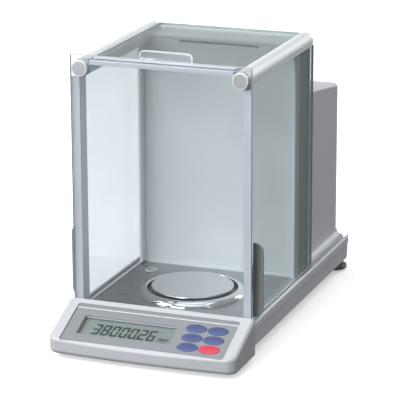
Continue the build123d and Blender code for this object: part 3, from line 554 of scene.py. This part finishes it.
pane("front_pane", "front_glass", "case", float_glass)
pane("left_door_pane", "left_door_glass", "left_door", door_glass)
pane("right_door_pane", "right_door_glass", "right_door", door_glass)
pane("roof_door_pane", "top_door_glass", "top_door", door_glass)

# ------------------------------------------------------------------ front posts and top rail
# Extruded aluminium angles, anodised grey, stand behind the front pane at each side. A rail of the
# same profile carries the front edge of the roof door.
anodised_grey = finish("anodised_grey", (0.75, 0.78, 0.82), 0.36, metal=0.2, grain=900,
                       along=(1, 1, 0.05), relief=0.01, cloud=0.05, wear_and_highlight=0.12)
dress(anodised_grey, "front_posts", "front_top_rail")

# ------------------------------------------------------------------ roof rods and their caps
# Fluted aluminium rods, anodised silver, tie the front pane to the rear frame along each side of the
# roof. Screwed caps with rough grey faces hold the pane to their ends. The flutes collect shadow.
anodised_silver = finish("anodised_silver", (0.74, 0.76, 0.79), 0.34, metal=0.2, grain=900,
                         along=(1, 0.05, 1), relief=0.01, cloud=0.04)
cap_face_grey = finish("cap_face_grey", (0.38, 0.395, 0.405), 0.6, grain=2600, relief=0.12, cloud=0.18)
fluted_silver = finish("fluted_silver", (0.78, 0.8, 0.83), 0.34, metal=0.2, grain=900,
                       along=(1, 0.05, 1), relief=0.01, cloud=0.04)
FLUTES, ROD_RADIUS = 30, 9.79 * MM
rod_low, rod_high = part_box("right_rod")
rod_x, rod_z = rod_high.x - ROD_RADIUS, (rod_low.z + rod_high.z) / 2
rod_tree = fluted_silver.node_tree
rod_spot = node(rod_tree, "SeparateXYZ", {0: node(rod_tree, "TexCoord").outputs["Object"]})
outward = node(rod_tree, "Math", {0: rod_spot.outputs["X"]}, operation="ABSOLUTE").outputs[0]
across = node(rod_tree, "Math", {0: outward, 1: rod_x}, operation="SUBTRACT").outputs[0]
above = node(rod_tree, "Math", {0: rod_spot.outputs["Z"], 1: rod_z}, operation="SUBTRACT").outputs[0]
turn = node(rod_tree, "Math", {0: above, 1: across}, operation="ARCTAN2").outputs[0]
wave = node(rod_tree, "Math", {0: turn, 1: float(FLUTES)}, operation="MULTIPLY").outputs[0]
ripple = node(rod_tree, "Math", {0: wave}, operation="COSINE").outputs[0]
in_flute = node(rod_tree, "MapRange", {0: ripple, 1: 0.45, 2: 0.98, 3: 0.0, 4: 0.6}).outputs[0]
lay_over(fluted_silver, in_flute, (0.16, 0.17, 0.18))
dress(fluted_silver, "left_rod", "right_rod")
dress(anodised_silver, "rod_caps")
cap_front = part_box("rod_caps")[0].y
for side_name, side in (("left", -1), ("right", 1)):
    disc_bm = bmesh.new()
    lathe(disc_bm, ((0, -0.3), (0, 0.12), (7.0, 0.12), (7.6, 0.05), (7.7, -0.3)), (0, 0), 72)
    lay = Matrix.Translation((side * rod_x, cap_front, rod_z)) @ Matrix.Rotation(math.pi / 2, 4, "X")
    bmesh.ops.transform(disc_bm, matrix=lay, verts=disc_bm.verts)
    piece(f"{side_name}_cap_face", disc_bm, "case", "rod", cap_face_grey, smooth=40)

# ------------------------------------------------------------------ rear panel and its frame
# The back of the chamber is a sheet panel in grey-green enamel with a vent slot near the top. White
# plastic trims cover its side edges, and folded columns behind it carry the rear of the roof.
panel_enamel = finish("panel_enamel", (0.75, 0.79, 0.79), 0.3, grain=1300, relief=0.008, cloud=0.02)
white_plastic = finish("white_plastic", (0.84, 0.87, 0.88), 0.32, grain=1300, relief=0.012, cloud=0.03)
column_grey = finish("column_grey", (0.52, 0.555, 0.555), 0.38, metal=0.35, grain=900,
                     along=(1, 1, 0.05), relief=0.01, cloud=0.05)
dress(panel_enamel, "rear_panel", "rear_frame_back")
dress(white_plastic, "rear_trims")
dress(column_grey, "rear_columns")
dress(white_plastic, "rear_top_cover")

# ------------------------------------------------------------------ side door handles
# Each side door has a grey moulded handle glued round its front edge: a strip outside the glass with
# an upright fin to pull, beaded along its edge, and a pad inside the glass.


def slab(bm, low, high, axis, radius, rounded, bead=0.0, ease=0.2):
    """A box between two corners, its chosen edges along an axis rounded and the rest eased."""
    before = set(bm.verts)
    bmesh.ops.create_cube(bm, size=1.0)
    corners = [v for v in bm.verts if v not in before]
    bmesh.ops.scale(bm, vec=Vector(high) - Vector(low), verts=corners)
    bmesh.ops.translate(bm, vec=(Vector(high) + Vector(low)) / 2, verts=corners)
    along = [e for v in corners for e in v.link_edges
             if abs(e.verts[0].co[axis] - e.verts[1].co[axis]) > 1e-6]
    chosen = [e for e in set(along) if rounded((e.verts[0].co + e.verts[1].co) / 2)]
    bmesh.ops.bevel(bm, geom=chosen, offset=radius, affect="EDGES", segments=8, profile=0.5, material=-1)
    bm.normal_update()
    faces = [f for f in bm.faces if not any(v in before for v in f.verts)]
    if bead:
        broad = [f for f in faces if abs(f.normal[axis]) > 0.9]
        bmesh.ops.inset_individual(bm, faces=broad, thickness=bead, depth=-bead * 0.5)
        bm.normal_update()
        faces = [f for f in bm.faces if not any(v in before for v in f.verts)]
    sharp = {e for f in faces for e in f.edges if e.calc_face_angle(0) > 0.7}
    bmesh.ops.bevel(bm, geom=list(sharp), offset=ease * MM, affect="EDGES", segments=2, profile=0.5,
                    material=-1)
    return [v for v in bm.verts if v not in before]


smoke_plastic = finish("smoke_plastic", (0.25, 0.26, 0.265), 0.3, grain=1500, relief=0.008, cloud=0.05)
FIN_START, FIN_THICK, STRIP_THICK = 6.2 * MM, 2.4 * MM, 1.8 * MM
PAD_FOOT, PAD_HEAD = 70 * MM, 100 * MM
pull_low, pull_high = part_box("right_door_handle")
glass_low, glass_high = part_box("right_door_glass")
fin_y = pull_low.y + FIN_START
for side_name, side in (("left", -1), ("right", 1)):
    handle_bm = bmesh.new()
    slab(handle_bm, (glass_high.x, fin_y, pull_low.z), (pull_high.x, fin_y + FIN_THICK, pull_high.z), 1,
         10 * MM, lambda point: point.x > pull_high.x - 1 * MM, bead=0.9 * MM)
    slab(handle_bm, (glass_high.x, fin_y + 1 * MM, pull_low.z + 4 * MM),
         (glass_high.x + STRIP_THICK, pull_high.y, pull_high.z - 6 * MM), 0, 1.5 * MM, lambda point: True)
    slab(handle_bm, (pull_low.x, pull_low.y, PAD_FOOT), (glass_low.x, pull_high.y - 1 * MM, PAD_HEAD), 0,
         3 * MM, lambda point: True)
    if side < 0:
        bmesh.ops.scale(handle_bm, vec=(-1, 1, 1), verts=handle_bm.verts)
        bmesh.ops.reverse_faces(handle_bm, faces=handle_bm.faces)
    piece(f"{side_name}_door_pull", handle_bm, f"{side_name}_door", "handle", smoke_plastic,
          stands_for=(f"{side_name}_door_handle",), smooth=30)

# ------------------------------------------------------------------ roof door handle
# A clear acrylic bar is glued along the front of the roof door. A tab with a polished bead round its
# edge stands up in its middle, to push the door back.
BAR_THICK, TAB_HALF, TAB_START, TAB_END = 2.7 * MM, 30 * MM, 3.7 * MM, 1.3 * MM
bar_low, bar_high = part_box("top_door_handle")
tab_foot = bar_low.z + 2.3 * MM
acrylic = clear_sheet("acrylic", (0.9, 0.925, 0.94), 0.1, gloss=0.05)
bead_clear = finish("polished_bead", (0.74, 0.78, 0.81), 0.15, grain=1300, relief=0.004, cloud=0.05,
                    sockets={"Coat Weight": 0.5, "Coat Roughness": 0.05})
tab_bm = bmesh.new()
slab(tab_bm, bar_low, (bar_high.x, bar_high.y, bar_low.z + BAR_THICK), 1, 0.8 * MM,
     lambda point: point.z > bar_low.z + 2 * MM)
slab(tab_bm, (-TAB_HALF, bar_high.y - TAB_START, tab_foot), (TAB_HALF, bar_high.y - TAB_END, bar_high.z), 1,
     6 * MM, lambda point: point.z > bar_high.z - 1 * MM, bead=1.1 * MM)
tab_bm.normal_update()
for face in tab_bm.faces:
    centre_z = face.calc_center_median().z
    broad = abs(face.normal.y) > 0.9 and face.calc_area() > 200 * MM * MM
    face.material_index = 0 if broad or centre_z < tab_foot else 1
piece("roof_door_pull", tab_bm, "top_door", "clear_handle", acrylic, bead_clear,
      stands_for=("top_door_handle",), smooth=30)

# ------------------------------------------------------------------ rear housing
# The weighing cell stands behind the chamber under a deep plastic cover, light grey with soft edges
# and a fine texture, that slopes down to the rear.
cover_plastic = finish("cover_plastic", (0.6, 0.615, 0.64), 0.4, grain=1300, relief=0.02, cloud=0.02,
                       wear_and_highlight=0.05)
dress(cover_plastic, "rear_housing")

# ------------------------------------------------------------------ connectors
# A plated steel plate in the rear opening holds the power inlet, the serial socket and the brass
# ground screw.
brass = finish("ground_brass", (0.75, 0.55, 0.25), 0.28, metal=1.0, grain=1200, relief=0.02, cloud=0.08)
socket_black = finish("socket_black", (0.02, 0.02, 0.022), 0.4, grain=1300, relief=0.02, cloud=0.2)
dress(zinc_plate, "connector_plate")
dress(socket_black, "dc_inlet")
dress(screw_steel, "serial_connector")
dress(brass, "ground_terminal")

# ------------------------------------------------------------------ circuit boards
# The main board under the deck and the display board in the console are green laminate with tinned
# pads. The parts on them are low blocks under the same green coating.


def laminate(name):
    """Green solder mask with a grid of darker tracks and tinned pads."""
    material = finish(name, (0.025, 0.16, 0.06), 0.3, grain=900, relief=0.01, cloud=0.1)
    tree = material.node_tree
    place = node(tree, "TexCoord").outputs["Object"]
    tracks = node(tree, "TexBrick", {"Vector": place, "Scale": 130.0, "Mortar Size": 0.05}).outputs["Fac"]
    lay_over(material, tracks, (0.05, 0.26, 0.1))
    pads = node(tree, "TexVoronoi",
                {"Vector": place, "Scale": 300.0, "Randomness": 0.25}).outputs["Distance"]
    tinned = node(tree, "Math", {0: pads, 1: 0.16}, operation="LESS_THAN").outputs[0]
    lay_over(material, tinned, (0.6, 0.61, 0.6))
    return material


board_green = laminate("board_green")
dress(board_green, "main_board", "display_board")

# ------------------------------------------------------------------ weighing cell
# A cast frame carries the lever on a pin between two lugs. A copper coil on the lever hangs in the
# gap of a plated magnet, and a small sensor watches the lever's end.
machined = finish("machined_aluminium", (0.68, 0.69, 0.7), 0.3, metal=1.0, grain=500, along=(1, 1, 0.1),
                  relief=0.01, cloud=0.06)
nickel = finish("magnet_nickel", (0.66, 0.63, 0.58), 0.16, metal=1.0, grain=700, relief=0.004, cloud=0.05)
winding = finish("coil_winding", (0.62, 0.26, 0.11), 0.3, metal=1.0, grain=1600, along=(0.05, 0.05, 1),
                 relief=0.08, cloud=0.16)
sensor_black = finish("sensor_black", (0.03, 0.03, 0.034), 0.45, grain=1300, relief=0.02, cloud=0.15)
dress(cast_aluminium, "cell_frame")
dress(machined, "lever", "weight_lifter")
dress(winding, "coil")
dress(nickel, "magnet")
dress(sensor_black, "position_sensor")

# ------------------------------------------------------------------ calibration weight and its motor
# A polished stainless weight rests on a lifter that a small geared motor lowers on to the hanger for
# calibration.
motor_black = finish("motor_black", (0.05, 0.05, 0.055), 0.35, metal=0.3, grain=1100, relief=0.02,
                     cloud=0.12)
weight_steel = finish("weight_steel", (0.72, 0.72, 0.72), 0.14, metal=1.0, grain=600, along=(0.1, 1, 1),
                      relief=0.004, cloud=0.04)
dress(weight_steel, "calibration_weight")
dress(motor_black, "calibration_motor")
